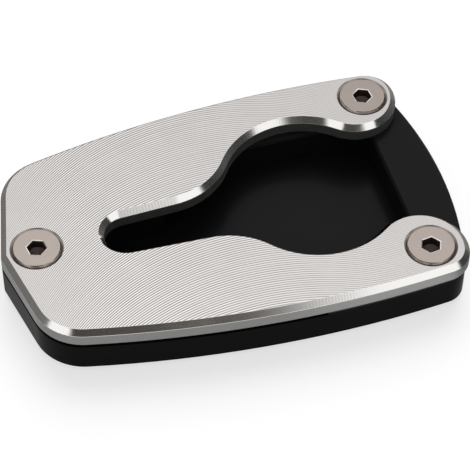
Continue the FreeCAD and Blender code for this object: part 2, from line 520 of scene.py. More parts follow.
@dataclass(frozen=True)
class Slope:
    """A tone that changes evenly over the part."""

    middle: float
    per_x: float
    per_y: float

    def over(self, sheet: Sheet, x: Socket, y: Socket) -> Socket:
        """Return the tone at a place."""
        along = sheet.maths("MULTIPLY_ADD", x, self.per_x, self.middle)
        return sheet.maths("MULTIPLY_ADD", y, self.per_y, along)


@dataclass(frozen=True)
class FaceMilled(Finish):
    """Bright face with the curved marks of one pass of a face mill, over painted light that dims the
    marks and darkens the face towards the far side and the open end.
    """

    name: str = "face_milled_silver"
    light: Colour = (0.98, 0.945, 0.93)
    dark: Colour = (0.20, 0.19, 0.185)
    roughness: float = 0.30
    blur: tuple[float, float] = (0.08, 0.0)
    depth: float = 0.004 * MM
    cutter_radius: float = 65.0 * MM
    path_x: float = -1.0 * MM
    feed: float = 0.678 * MM
    groove_floor: float = -0.75
    groove_edge: float = 0.25
    groove_mean: float = 0.585
    faintest_groove: float = 0.72
    # Painted light: how strongly the arcs show, and the face's tone below, fall off towards the far
    # side and the open end.
    strength: Slope = Slope(0.69, -10.5, -1.8)
    least_strength: float = 0.25
    nose_strength: float = 0.35
    nose_plain: float = -56.0 * MM
    nose_full: float = -36.0 * MM
    tone: Slope = Slope(0.555, -0.3, -1.24)
    clouds: float = 160.0
    cloud_tone: float = 0.04

    def detail(self, coat: Coat) -> Detail:
        """Draw the arcs of the cutter, each a little stronger or fainter than the next, over painted
        light: the arcs fade and the face darkens towards the far side and the open end, and the arcs
        also fade near the nose.

        Args:
            coat: the material.

        Returns:
            The sockets of tone, blur and height.
        """
        sheet = coat.sheet
        x, y, _ = sheet.parts(coat.place((self.path_x, 0.0, 0.0)))
        square = sheet.maths("MULTIPLY", x, x)
        arc = sheet.maths("SQRT", sheet.maths("SUBTRACT", self.cutter_radius**2, square))
        passes = sheet.maths("DIVIDE", sheet.maths("SUBTRACT", y, arc), self.feed)
        sine = sheet.maths("SINE", sheet.maths("MULTIPLY", passes, FULL_TURN))
        groove = sheet.spread(sine, 0.0, 1.0, self.groove_floor, self.groove_edge)
        # The arcs' strength is painted light that falls off towards the far side and the open end; it
        # also drops near the nose.
        nose = sheet.spread(x, self.nose_strength, 1.0, self.nose_plain, self.nose_full)
        strength = sheet.clamp(self.strength.over(sheet, x, y), self.least_strength, nose)
        number = {"W": sheet.maths("FLOOR", passes)}
        chance = sheet.add("ShaderNodeTexWhiteNoise", number, noise_dimensions="1D")
        share = sheet.spread(chance.outputs["Value"], self.faintest_groove, 1.0)
        swing = sheet.maths("MULTIPLY", sheet.maths("SUBTRACT", groove, self.groove_mean), share)
        # Painted light: the face's tone darkens towards the far side and the open end.
        lines = sheet.maths("MULTIPLY_ADD", swing, strength, self.tone.over(sheet, x, y))
        cloud = sheet.spread(coat.noise(self.clouds), -self.cloud_tone, self.cloud_tone)
        return sheet.maths("ADD", lines, cloud), groove, groove


@dataclass(frozen=True)
class BrightCut(Finish):
    """Mirror-bright cut of a chamfer mill, with patches where the tool chattered."""

    name: str = "bright_bevel_cut"
    light: Colour = (0.93, 0.92, 0.90)
    dark: Colour = (0.89, 0.88, 0.86)
    roughness: float = 0.11
    blur: tuple[float, float] = (0.0, 0.06)
    depth: float = 0.0022 * MM
    chatter: float = 0.8 * MM
    patches: float = 36.0 * MM
    patch_edge: float = -0.1
    patch_full: float = -0.8
    wobbles: float = 90.0
    wobble: float = 1.2 * MM
    uneven_spots: float = 260.0
    uneven_centre: Triple = (0.3, 0.1, 0.0)
    uneven: tuple[float, float] = (0.2, 1.4)

    def detail(self, coat: Coat) -> Detail:
        """Draw the chatter marks, which come and go in patches along the edge.

        Args:
            coat: the material.

        Returns:
            The sockets of tone, blur and height.
        """
        sheet = coat.sheet
        x, _, _ = sheet.parts(coat.place())
        along = sheet.maths("MULTIPLY_ADD", coat.noise(self.wobbles), self.wobble, x)
        wave = sheet.maths("SINE", sheet.maths("MULTIPLY", along, FULL_TURN / self.chatter))
        beat = sheet.maths("COSINE", sheet.maths("MULTIPLY", along, FULL_TURN / self.patches))
        patch = sheet.spread(beat, 0.0, 1.0, self.patch_edge, self.patch_full)
        uneven = sheet.spread(coat.noise(self.uneven_spots, centre=self.uneven_centre), *self.uneven)
        strength = sheet.maths("MULTIPLY", patch, uneven)
        # A wave about 0 becomes marks about a half.
        marks = sheet.maths("MULTIPLY_ADD", sheet.maths("MULTIPLY", wave, strength), 0.5, 0.5)
        return marks, strength, marks


@dataclass(frozen=True)
class SideMilled(Finish):
    """Greyer wall left by the side of an end mill, with a painted reflection that lightens the near
    side's wall towards the open end.
    """

    name: str = "side_milled_silver"
    light: Colour = (0.40, 0.398, 0.384)
    dark: Colour = (0.225, 0.223, 0.215)
    roughness: float = 0.36
    blur: tuple[float, float] = (-0.05, 0.05)
    depth: float = 0.002 * MM
    metallic: float = 0.8
    streaks: float = 2600.0
    streak_layers: float = 3.0
    upright: Triple = (1.0, 1.0, 0.06)
    streak_share: float = 0.7
    clouds: float = 140.0
    swing: float = 0.34
    # Painted reflection: the near side's wall lightens along X and fades out inwards along Y.
    painted_light_from: float = 2.0 * MM
    painted_light_to: float = 26.0 * MM
    painted_light_gain: float = 0.52
    painted_light_side: float = -24.0 * MM
    painted_light_side_end: float = -20.0 * MM

    def detail(self, coat: Coat) -> Detail:
        """Draw fine upright lines in soft clouds, and paint a lighter reflection on the near side's
        wall towards the open end.

        Args:
            coat: the material.

        Returns:
            The sockets of tone, blur and height.
        """
        sheet = coat.sheet
        streaks = coat.noise(self.streaks, self.streak_layers, scale=self.upright)
        clouds = coat.noise(self.clouds)
        both = sheet.weigh((clouds, 1.0 - self.streak_share), (streaks, self.streak_share))
        x, y, _ = sheet.parts(coat.place())
        # Painted reflection of a lighter floor on the near side's wall, towards the open end.
        along = sheet.spread(x, 0.0, self.painted_light_gain, self.painted_light_from, self.painted_light_to)
        near = sheet.spread(y, 1.0, 0.0, self.painted_light_side, self.painted_light_side_end)
        tone = sheet.maths("MULTIPLY_ADD", both, self.swing, sheet.maths("MULTIPLY", along, near))
        return tone, both, streaks


@dataclass(frozen=True)
class BlackAnodised(Finish):
    """Black dyed aluminium that keeps the fine marks of the mill under the dye."""

    name: str = "black_anodised_face"
    light: Colour = (0.009,) * 3
    dark: Colour = (0.006,) * 3
    roughness: float = 0.2
    blur: tuple[float, float] = (-0.04, 0.04)
    depth: float = 0.0012 * MM
    metallic: float = 0.0
    level: float = 0.075
    grain: float = 1800.0
    grain_layers: float = 3.0
    grain_share: float = 0.6
    clouds: float = 90.0
    cloud_centre: Triple = (0.05, 0.0, 0.0)

    def detail(self, coat: Coat) -> Detail:
        """Draw a fine grain in soft clouds.

        Args:
            coat: the material.

        Returns:
            The sockets of tone, blur and height.
        """
        grain = coat.noise(self.grain, self.grain_layers)
        clouds = coat.noise(self.clouds, centre=self.cloud_centre)
        both = coat.sheet.weigh((clouds, 1.0 - self.grain_share), (grain, self.grain_share))
        return both, both, grain


@dataclass(frozen=True)
class TurnedSteel(Finish):
    """Stainless screw steel with the fine rings of the lathe, counted from the screw's own axis."""

    ACROSS: ClassVar[Triple] = (1.0, 1.0, 0.0)

    name: str = "turned_screw_steel"
    light: Colour = (0.55, 0.48, 0.435)
    dark: Colour = (0.36, 0.312, 0.282)
    roughness: float = 0.24
    blur: tuple[float, float] = (-0.05, 0.06)
    depth: float = 0.0008 * MM
    ring: float = 0.19 * MM
    ring_share: float = 0.3
    clouds: float = 320.0
    cloud_share: float = 0.4
    specks: float = 1500.0
    speck_layers: float = 3.0
    speck_centre: Triple = (0.0, 0.1, 0.0)
    speck_share: float = 0.3
    swing: float = 0.42
    tone: Slope = Slope(0.28, -3.4, -7.3)

    def detail(self, coat: Coat) -> Detail:
        """Draw the rings of the lathe under wear, in a tone that changes over the part.

        Args:
            coat: the material.

        Returns:
            The sockets of tone, blur and height.
        """
        sheet = coat.sheet
        own = sheet.add("ShaderNodeAttribute", attribute_name=SocketScrew.OWN_PLACE)
        inputs = {0: own.outputs["Vector"], 1: self.ACROSS}
        across = sheet.add("ShaderNodeVectorMath", inputs, operation="MULTIPLY")
        away = sheet.add("ShaderNodeVectorMath", {0: across.outputs["Vector"]}, operation="LENGTH")
        turns = sheet.maths("MULTIPLY", away.outputs["Value"], FULL_TURN / self.ring)
        rings = sheet.spread(sheet.maths("SINE", turns), 0.0, 1.0, -1.0)
        worn = sheet.weigh(
            (coat.noise(self.clouds), self.cloud_share),
            (coat.noise(self.specks, self.speck_layers, self.speck_centre), self.speck_share),
            (rings, self.ring_share),
        )
        x, y, _ = sheet.parts(coat.place())
        tone = sheet.maths("MULTIPLY_ADD", worn, self.swing, self.tone.over(sheet, x, y))
        return tone, worn, worn


@dataclass(frozen=True)
class Blotched(Finish):
    """Metal in patches, which start where the noise is faint and are whole where it is full."""

    spots: float = 500.0
    layers: float = 3.0
    faint: float = 0.0
    full: float = 1.0

    def detail(self, coat: Coat) -> Detail:
        """Draw the patches.

        Args:
            coat: the material.

        Returns:
            The sockets of tone, blur and height.
        """
        noise = coat.noise(self.spots, self.layers)
        patches = coat.sheet.spread(noise, 0.0, 1.0, self.faint, self.full)
        return patches, patches, patches


@dataclass(frozen=True)
class SeatCut(Blotched):
    """Countersunk seat round a screw head, painted darker and browner than the bright cut as shade in
    the gap beside the head, in blotches.
    """

    name: str = "countersunk_seat_painted_shade"
    # Painted shade: darker and browner than the bright cut round it.
    light: Colour = (0.48, 0.45, 0.43)
    dark: Colour = (0.26, 0.24, 0.225)
    roughness: float = 0.3
    blur: tuple[float, float] = (0.08, -0.08)
    depth: float = 0.002 * MM


@dataclass(frozen=True)
class PaintedEdge(Blotched):
    """Steel in patches along a screw's edges, smoother than the rest and painted lighter as a
    highlight; given dark colours, it paints a dark reflection instead.
    """

    name: str = "painted_highlight_screw_edge"
    # Painted highlight: lighter than the turned steel.
    light: Colour = (0.92, 0.88, 0.85)
    dark: Colour = (0.62, 0.56, 0.52)
    roughness: float = 0.16
    blur: tuple[float, float] = (0.12, 0.0)
    depth: float = 0.001 * MM
    spots: float = 420.0
    faint: float = 0.35
    full: float = 0.6


@dataclass(frozen=True)
class SocketShade(Blotched):
    """Dark brown oxide and old grease down in a screw's socket, with painted shade of the recess on
    top.
    """

    name: str = "socket_oxide_and_shade"
    # Painted shade of the recess, over the socket's brown oxide.
    light: Colour = (0.085, 0.056, 0.047)
    dark: Colour = (0.03, 0.019, 0.016)
    roughness: float = 0.42
    blur: tuple[float, float] = (0.1, -0.1)
    depth: float = 0.004 * MM
    metallic: float = 0.35
    spots: float = 900.0
    layers: float = 4.0


@dataclass(frozen=True)
class MetricThread:
    """A metric thread, wound as a grid with four rows of points to each turn."""

    ROWS: ClassVar[float] = 4.0

    pitch: float = 1.0 * MM
    depth: float = 0.54 * MM
    crest: float = 1.0 / 8.0
    root: float = 1.0 / 4.0
    around: int = 64

    def wind(self, tree: ShapeTree, radius: Socket, low: Socket, high: Socket, trim: Trim) -> Socket:
        """Add the thread's surface, facing away from the axis.

        The rows follow the helix, and where they would pass an end they lie flat in it. The turns
        are counted from the height 0, so threads of one pitch run in step wherever they stand.

        Args:
            tree: the tree that it is added to.
            radius: the crest's radius.
            low: height of the lower end.
            high: height of the upper end.
            trim: takes a radius and a height, and returns the radius after the ends are shaped.

        Returns:
            The mesh's socket.
        """
        sheet = tree.sheet
        first = sheet.maths("SUBTRACT", sheet.maths("FLOOR", self.in_turns(sheet, low)), 1.0)
        last = sheet.maths("ADD", sheet.maths("CEIL", self.in_turns(sheet, high)), 1.0)
        rows = sheet.maths("MULTIPLY", sheet.maths("SUBTRACT", last, first), self.ROWS)
        # The grid has one point more than rows, and the half keeps the count from rounding down.
        grid = sheet.add("GeometryNodeMeshGrid", {
            "Size X": 1.0,
            "Size Y": 1.0,
            "Vertices X": self.around + 1,
            "Vertices Y": sheet.maths("ADD", rows, 1.5),
        })
        # The grid is centred, so a half is added to count its places from the edge.
        x, y, _ = sheet.parts(tree.place())
        share = sheet.maths("ADD", x, 0.5)
        row = sheet.maths("ROUND", sheet.maths("MULTIPLY", sheet.maths("ADD", y, 0.5), rows))
        turns = sheet.maths("FLOOR", sheet.maths("DIVIDE", row, self.ROWS))
        step = sheet.maths("MULTIPLY_ADD", turns, -self.ROWS, row)
        sunk = self.between(sheet, step, 1.0)
        within = sheet.weigh(
            (self.between(sheet, step, 0.0), self.crest),
            (sunk, (1.0 - self.crest - self.root) / 2.0),
            (self.between(sheet, step, 2.0), self.root),
        )
        travel = sheet.maths("ADD", sheet.maths("ADD", first, turns), sheet.maths("ADD", within, share))
        height = sheet.clamp(sheet.maths("MULTIPLY", travel, self.pitch), low, high)
        wanted = trim(sheet.maths("MULTIPLY_ADD", sunk, -self.depth, radius), height)
        angle = sheet.maths("MULTIPLY", share, FULL_TURN)
        point = sheet.add("ShaderNodeCombineXYZ", {
            "X": sheet.maths("MULTIPLY", wanted, sheet.maths("COSINE", angle)),
            "Y": sheet.maths("MULTIPLY", wanted, sheet.maths("SINE", angle)),
            "Z": height,
        })
        inputs = {"Geometry": grid.outputs["Mesh"], "Position": point.outputs["Vector"]}
        return sheet.add("GeometryNodeSetPosition", inputs).outputs["Geometry"]

    def in_turns(self, sheet: Sheet, height: Socket) -> Socket:
        """Turn a height into a number of turns."""
        return sheet.maths("DIVIDE", height, self.pitch)

    @staticmethod
    def between(sheet: Sheet, step: Socket, start: float) -> Socket:
        """Run from 0 to 1 while the step goes from start to the next whole number."""
        return sheet.clamp(sheet.maths("SUBTRACT", step, start), 0.0, 1.0)


@dataclass
class SocketScrew:
    """The countersunk socket screw, made by one tree and fitted to each screw's CAD box."""

    OWN_PLACE: ClassVar[str] = "own_place"
    HEXAGON: ClassVar[int] = 6

    shank_radius: float = 3.0 * MM
    tip_chamfer: float = 0.7 * MM
    head_rim: float = 1.05 * MM
    rim_inset: tuple[float, ...] = (0.0, 0.08 * MM, 0.21 * MM, 0.31 * MM)
    rim_drop: tuple[float, ...] = (0.75 * MM, 0.17 * MM, 0.03 * MM, 0.0)
    rim_reach: float = 4.5 * MM
    run_out: float = 0.8
    across_flats: float = 4.35 * MM
    socket_depth: float = 2.4 * MM
    socket_reach: float = 2.6 * MM
    mouth_chamfer: float = 0.12 * MM
    mouth_slope: float = 1.9
    mouth_tilt: tuple[float, float] = (0.3, 0.98)
    drill_depth: float = 1.1 * MM
    drill_share: float = 0.495
    drill_sides: int = 24
    drill_tip: float = 0.02 * MM
    drill_overlap: float = 0.02 * MM
    overlap: float = 0.3 * MM
    neck_margin: float = 0.2 * MM
    thread: MetricThread = field(default_factory=MetricThread)
    tree: ShapeTree = field(init=False)

    def __post_init__(self) -> None:
        """Build the tree once, for all the screws."""
        self.tree = ShapeTree("countersunk_socket_screw")
        self.plan()

    def plan(self) -> None:
        """Lay out the tree: a turned body with a thread, and a hexagon socket cut into its head."""
        tree = self.tree
        sheet = tree.sheet
        head = tree.take("Head Radius")
        shank = tree.take("Shank Radius")
        tip = tree.take("Tip Height")
        top = tree.take("Head Height")
        flats = tree.take("Socket Across Flats")
        turn = tree.take("Socket Turn")
        centre = tree.take("Centre", "Vector")
        steel = tree.take("Steel", "Material")
        highlight_edge = tree.take("Painted Highlight Edge", "Material")
        dark_edge = tree.take("Painted Dark Edge", "Material")
        shade = tree.take("Socket Shade", "Material")
        sides = self.thread.around
        rim = sheet.maths("SUBTRACT", top, self.head_rim)
        neck = sheet.maths("SUBTRACT", rim, sheet.maths("SUBTRACT", head, shank))
        point = sheet.maths("SUBTRACT", shank, self.tip_chamfer)
        edges = [sheet.maths("SUBTRACT", head, inset) for inset in self.rim_inset]
        heights = [sheet.maths("SUBTRACT", top, drop) for drop in self.rim_drop]

        def trim(radius: Socket, height: Socket) -> Socket:
            """Chamfer the tip and let the thread run out under the head.

            Args:
                radius: the thread's radius.
                height: the height that it is at.

            Returns:
                The radius that is left.
            """
            to_neck = sheet.maths("SUBTRACT", neck, height)
            runs_out = sheet.maths("MULTIPLY_ADD", to_neck, -self.run_out, shank)
            from_tip = sheet.maths("ADD", sheet.maths("SUBTRACT", height, tip), point)
            return sheet.clamp(radius, runs_out, from_tip)

        body = tree.weld(
            tree.disc(sides, point, tip, False),
            self.thread.wind(tree, shank, tip, neck, trim),
            tree.ring(sides, shank, head, neck, rim),
            tree.ring(sides, head, head, rim, heights[0]),
            *(
                tree.ring(sides, edges[step], edges[step + 1], heights[step], heights[step + 1])
                for step in range(len(edges) - 1)
            ),
            tree.disc(sides, edges[-1], top, True),
        )
        cut = sheet.add(
            "GeometryNodeMeshBoolean", {"Mesh 1": body}, operation="DIFFERENCE", solver="EXACT"
        )
        for cutter in self.cutters(top, flats):
            sheet.feed(cut.inputs["Mesh 2"], tree.turn(cutter, turn))
        keep = sheet.add("GeometryNodeStoreNamedAttribute", {
            "Geometry": cut.outputs["Mesh"],
            "Name": self.OWN_PLACE,
            "Value": tree.place(),
        }, data_type="FLOAT_VECTOR", domain="POINT")
        shape = tree.realise(tree.move(keep.outputs["Geometry"], {"Translation": centre}))
        shape = tree.dress(shape, steel)
        # Painted highlights on the socket's mouth and on the rim's steep facet, and a painted dark
        # reflection on the narrow facet above it.
        shape = tree.dress(shape, highlight_edge, self.mouth_part(top))
        shape = tree.dress(shape, highlight_edge, self.rim_part(heights[0], heights[1]))
        shape = tree.dress(shape, dark_edge, self.rim_part(heights[1], heights[2]))
        shape = tree.dress(shape, shade, self.inside(neck, top))
        tree.finish(shape)

    def cutters(self, top: Socket, flats: Socket) -> list[Socket]:
        """Add what is cut out of the head: the hexagon, its mouth and the point of the drill.

        Args:
            top: height of the head's face.
            flats: the hexagon's width across its flats.

        Returns:
            The sockets of the cutters.
        """
        tree = self.tree
        sheet = tree.sheet
        corner = 1.0 / math.sqrt(3.0)
        reach = sheet.maths("MULTIPLY", flats, corner)
        floor = sheet.maths("SUBTRACT", top, self.socket_depth)
        above = sheet.maths("ADD", top, self.overlap)
        mouth = sheet.maths("SUBTRACT", top, self.mouth_chamfer)
        widening = 2.0 * corner * self.mouth_slope * (self.mouth_chamfer + self.overlap)
        wider = sheet.maths("ADD", reach, widening)
        inner = sheet.maths("MULTIPLY", flats, self.drill_share)
        drilled = sheet.maths("SUBTRACT", floor, self.drill_depth)
        over = sheet.maths("ADD", floor, self.drill_overlap)
        return [
            tree.plug(self.HEXAGON, reach, reach, floor, above),
            tree.plug(self.HEXAGON, reach, wider, mouth, above),
            tree.plug(self.drill_sides, self.drill_tip, inner, drilled, over),
        ]

    def own_place(self) -> tuple[Socket, Socket]:
        """Read a face's place in the screw.

        Returns:
            The sockets of its squared distance from the screw's own axis, and of its height.
        """
        sheet = self.tree.sheet
        stored = sheet.add(
            "GeometryNodeInputNamedAttribute", {"Name": self.OWN_PLACE}, data_type="FLOAT_VECTOR"
        )
        x, y, z = sheet.parts(stored.outputs["Attribute"])
        return sheet.maths("MULTIPLY_ADD", x, x, sheet.maths("MULTIPLY", y, y)), z

    def mouth_part(self, top: Socket) -> Socket:
        """Pick the chamfer round the socket's mouth.

        Args:
            top: height of the head's face.

        Returns:
            The socket of what is true there.
        """
        sheet = self.tree.sheet
        facing = sheet.add("GeometryNodeInputNormal")
        _, _, tilt = sheet.parts(facing.outputs["Normal"])
        away, height = self.own_place()
        return sheet.fold(
            "MULTIPLY",
            sheet.maths("GREATER_THAN", tilt, self.mouth_tilt[0]),
            sheet.maths("LESS_THAN", tilt, self.mouth_tilt[1]),
            sheet.maths("LESS_THAN", away, self.rim_reach**2),
            sheet.maths("GREATER_THAN", height, sheet.maths("SUBTRACT", top, self.rim_drop[0])),
        )

    def rim_part(self, low: Socket, high: Socket) -> Socket:
        """Pick the faces round the head's rim between two heights.

        Args:
            low: the lower height.
            high: the upper height.

        Returns:
            The socket of what is true there.
        """
        sheet = self.tree.sheet
        away, height = self.own_place()
        return sheet.fold(
            "MULTIPLY",
            sheet.maths("GREATER_THAN", away, self.rim_reach**2),
            sheet.maths("GREATER_THAN", height, low),
            sheet.maths("LESS_THAN", height, high),
        )

    def inside(self, neck: Socket, top: Socket) -> Socket:
        """Pick the faces down in the socket, below its chamfered mouth.

        Args:
            neck: height of the head's foot.
            top: height of the head's face.

        Returns:
            The socket of what is true there.
        """
        sheet = self.tree.sheet
        away, height = self.own_place()
        return sheet.fold(
            "MULTIPLY",
            sheet.maths("LESS_THAN", away, self.socket_reach**2),
            sheet.maths("LESS_THAN", height, sheet.maths("SUBTRACT", top, self.mouth_chamfer)),
            sheet.maths("GREATER_THAN", height, sheet.maths("ADD", neck, self.neck_margin)),
        )

    def build(
        self, node: str, turn: float, finishes: dict[str, bpy.types.Material]
    ) -> bpy.types.Object:
        """Make the screw that stands for one CAD node.

        Args:
            node: the CAD node.
            turn: turn of the socket's first corner in degrees.
            finishes: the material for each of the tree's material inputs.

        Returns:
            The screw.
        """
        low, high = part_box(node)
        piece = self.tree.evaluate(node + "_threaded", {
            "Head Radius": (high[0] - low[0]) / 2.0,
            "Shank Radius": self.shank_radius,
            "Tip Height": low[2],
            "Head Height": high[2],
            "Socket Across Flats": self.across_flats,
            "Socket Turn": math.radians(turn),
            "Centre": tuple(screw_axis(node)),
            **finishes,
        })
        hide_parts(node)
        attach(piece, "root")
        return piece


@dataclass
class TappedHoles:
    """The threads in the base's three tapped holes, as sleeves that fill the plain CAD holes."""

    hole_radius: float = 3.05 * MM
    low: float = 0.12 * MM
    high: float = 10.38 * MM
    thread: MetricThread = field(default_factory=MetricThread)

    def build(self, places: list[Vector], finish: bpy.types.Material) -> bpy.types.Object:
        """Make one sleeve at each screw.

        Args:
            places: the screws' axes, at height 0.
            finish: the base plate's finish.

        Returns:
            The piece with all the sleeves.
        """
        tree = ShapeTree("tapped_hole_sleeve")
        sheet = tree.sheet
        radius = tree.take("Hole Radius")
        low = tree.take("Lower End")
        high = tree.take("Upper End")
        black = tree.take("Finish", "Material")

        def trim(cut: Socket, height: Socket) -> Socket:
            """Open both ends of the thread with a chamfer.

            Args:
                cut: the thread's radius.
                height: the height that it is at.

            Returns:
                The radius that the hole has there.
            """
            below = sheet.maths("SUBTRACT", radius, sheet.maths("SUBTRACT", height, low))
            above = sheet.maths("SUBTRACT", radius, sheet.maths("SUBTRACT", high, height))
            return sheet.maths("MAXIMUM", cut, sheet.maths("MAXIMUM", below, above))

        inside = tree.turn_inside_out(self.thread.wind(tree, radius, low, high, trim))
        outside = tree.ring(self.thread.around, radius, radius, low, high)
        sleeves = sheet.add("GeometryNodeInstanceOnPoints", {
            "Points": tree.entry.outputs["Mesh"],
            "Instance": tree.weld(inside, outside),
        })
        tree.finish(tree.dress(tree.realise(sleeves.outputs["Instances"]), black))
        piece = tree.evaluate("tapped_threads", {
            "Hole Radius": self.hole_radius,
            "Lower End": self.low,
            "Upper End": self.high,
            "Finish": finish,
        }, places)
        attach(piece, "root")
        return piece


@dataclass
class CadPlate:
    """A plate that keeps the shape of its CAD node, with rounded arrises and a finish per region."""

    node: str
    slot: Slot
    arris: float = 0.07 * MM
    arris_steps: int = 2
    keyhole_share: float = 0.25
    # The band of painted shade on the outer wall under the top plate: its foot, and where it ends along
    # X.
    joint_foot: float = 9.5 * MM
    joint_end: float = 16.0 * MM
    doubles: float = 0.001 * MM
    flatness: float = math.radians(0.2)
    crease: float = math.radians(28.0)
    level_cosine: float = 0.98
    upright_cosine: float = 0.2
    seat_reach: float = 7.0 * MM
    finishes: dict[Region, bpy.types.Material] = field(default_factory=dict)

    def region_of(self, face: bmesh.types.BMFace, axes: list[Vector]) -> Region:
        """Tell which kind of surface a face belongs to.

        Args:
            face: the face.
            axes: the screws' axes, at height 0.

        Returns:
            The face's region.
        """
        tilt = face.normal.z
        centre = face.calc_center_median()
        # Outer wall faces just under the top plate take painted shade towards the nose, where the gap
        # between the plates shades them; further on, their arris takes the lip.
        at_joint = Region.JOINT_SHADE in self.finishes and centre.z > self.joint_foot
        if at_joint and tilt < self.level_cosine and faces_away(face.normal, centre):
            if centre.x < self.joint_end:
                return Region.JOINT_SHADE
            if tilt > self.upright_cosine:
                return Region.LIP
        nearest = min((centre.xy - axis.xy).length for axis in axes)
        if nearest < self.seat_reach and abs(tilt) < self.level_cosine:
            return Region.SEAT
        if tilt > self.level_cosine:
            return Region.UPPER_FACE
        if tilt < -self.level_cosine:
            return Region.UNDERSIDE
        if abs(tilt) > self.upright_cosine:
            return Region.BEVEL
        return Region.WALL

    def arris_share(self, edge: bmesh.types.BMEdge) -> float:
        """Tell how much of the arris an edge gets: less below the keyhole's bevel, which is crisp.

        Args:
            edge: the edge.

        Returns:
            The share of the arris, 0 for an edge that isn't rounded.
        """
        if not edge.is_convex or edge.calc_face_angle(0.0) <= self.crease:
            return 0.0
        place = edge.verts[0].co
        lower, upper = sorted(face.normal.z for face in edge.link_faces)
        inward = not any(faces_away(face.normal, place) for face in edge.link_faces)
        below_bevel = abs(lower) < self.upright_cosine < upper < self.level_cosine
        return self.keyhole_share if inward and below_bevel else 1.0

    def shape(self, axes: list[Vector]) -> bpy.types.Mesh:
        """Copy the node's mesh, clean it, split it at the joint and mark its regions and arrises.

        Args:
            axes: the screws' axes, at height 0.

        Returns:
            The dressed mesh.
        """
        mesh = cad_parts[self.node].data.copy()
        mesh.name = self.node + "_shape"
        work = bmesh.new()
        work.from_mesh(mesh)
        bmesh.ops.remove_doubles(work, verts=work.verts, dist=self.doubles)
        bmesh.ops.dissolve_limit(
            work, angle_limit=self.flatness, verts=work.verts, edges=work.edges
        )
        if Region.JOINT_SHADE in self.finishes:
            bmesh.ops.bisect_plane(
                work,
                geom=[*work.verts, *work.edges, *work.faces],
                plane_co=(0.0, 0.0, self.joint_foot),
                plane_no=(0.0, 0.0, 1.0),
            )
        order = list(self.finishes)
        mesh.materials.clear()
        for material in self.finishes.values():
            mesh.materials.append(material)
        for face in work.faces:
            face.material_index = order.index(self.region_of(face, axes))
            face.smooth = True
        weight = work.edges.layers.float.new("bevel_weight_edge")
        for edge in work.edges:
            edge[weight] = self.arris_share(edge)
        work.to_mesh(mesh)
        work.free()
        mesh.set_sharp_from_angle(angle=self.crease)
        return mesh

    def build(self, axes: list[Vector]) -> bpy.types.Object:
        """Make the plate and round its arrises.

        Args:
            axes: the screws' axes, at height 0.

        Returns:
            The piece that stands for the node.
        """
        piece = stand(self.node + "_dressed", self.shape(axes))
        rounding = piece.modifiers.new("arris", "BEVEL")
        rounding.width = self.arris
        rounding.segments = self.arris_steps
        rounding.limit_method = "WEIGHT"
        evening = piece.modifiers.new("flat_faces", "WEIGHTED_NORMAL")
        evening.keep_sharp = True
        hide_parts(self.node)
        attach(piece, "root")
        return piece


@dataclass
class CameraRig:
    """The camera that the photograph was taken with, as fitted to the part's outline."""

    right: Triple = (0.95612, -0.29257, 0.01514)
    up: Triple = (0.21566, 0.73788, 0.63955)
    back: Triple = (-0.19829, -0.60822, 0.76860)
    place: Triple = (-0.09854, -0.32573, 0.41294)
    lens: float = 160.833
    film: float = 36.0
    shift: tuple[float, float] = (-0.04122, -0.0003)
    nearest: float = 10.0 * MM

    def build(self) -> bpy.types.Object:
        """Make the camera and hand it to the scene.

        Returns:
            The camera object.
        """
        data = bpy.data.cameras.new("photo_camera")
        data.sensor_width = self.film
        data.lens = self.lens
        data.shift_x, data.shift_y = self.shift
        data.clip_start = self.nearest
        camera = stand("photo_camera", data)
        turned = Matrix((self.right, self.up, self.back)).transposed().to_4x4()
        camera.matrix_world = Matrix.Translation(self.place) @ turned
        bpy.context.scene.camera = camera
        return camera


@dataclass(frozen=True)
class Card:
    """A dark card beside the part, seen only in reflections, as a studio uses to draw edges."""

    name: str
    start: tuple[float, float]
    end: tuple[float, float]
    start_colour: Colour
    end_colour: Colour
    start_soft: float
    end_soft: float
    foot: float = 0.0
    height: float = 0.0
    depth: float = 0.0
    turns_from: float = 0.0

    def build(self) -> bpy.types.Object:
        """Make the card as an upright strip between its two ends, or as a flat one on the floor.

        Returns:
            The card object, which only reflections see.
        """
        length = math.dist(self.start, self.end)
        lift = Vector((0.0, self.depth, self.height))
        near = Vector((0.0, 0.0, self.foot))
        far = Vector((length, 0.0, self.foot))
        mesh = bpy.data.meshes.new(self.name)
        mesh.from_pydata([near, far, far + lift, near + lift], [], [(0, 1, 2, 3)])
        mesh.materials.append(self.felt(length))
        card = stand(self.name, mesh)
        card.location = (*self.start, 0.0)
        bearing = math.atan2(self.end[1] - self.start[1], self.end[0] - self.start[0])
        card.rotation_euler = (0.0, 0.0, bearing)
        card.visible_camera = False
        card.visible_diffuse = False
        card.visible_shadow = False
        card.visible_transmission = False
        return card

    def felt(self, length: float) -> bpy.types.Material:
        """Make the card's dark colour, which fades out at both ends.

        Args:
            length: the card's length in metres.

        Returns:
            The material.
        """
        material = bpy.data.materials.new(self.name + "_felt")
        material.use_nodes = True
        material.node_tree.nodes.clear()
        sheet = Sheet(material.node_tree)
        x, _, _ = sheet.parts(sheet.add("ShaderNodeTexCoord").outputs["Object"])
        rise = sheet.spread(x, 0.0, 1.0, 0.0, self.start_soft, "SMOOTHSTEP")
        fall = sheet.spread(x, 0.0, 1.0, length, length - self.end_soft, "SMOOTHSTEP")
        turned = sheet.spread(x, 0.0, 1.0, self.turns_from * length, length, "SMOOTHSTEP")
        glow = sheet.add("ShaderNodeEmission", {
            "Color": sheet.blend(turned, self.start_colour, self.end_colour),
        })
        mix = sheet.add("ShaderNodeMixShader", {
            0: sheet.maths("MULTIPLY", rise, fall),
            1: sheet.add("ShaderNodeBsdfTransparent").outputs[0],
            2: glow.outputs[0],
        })
        sheet.add("ShaderNodeOutputMaterial", {"Surface": mix.outputs[0]})
        return material


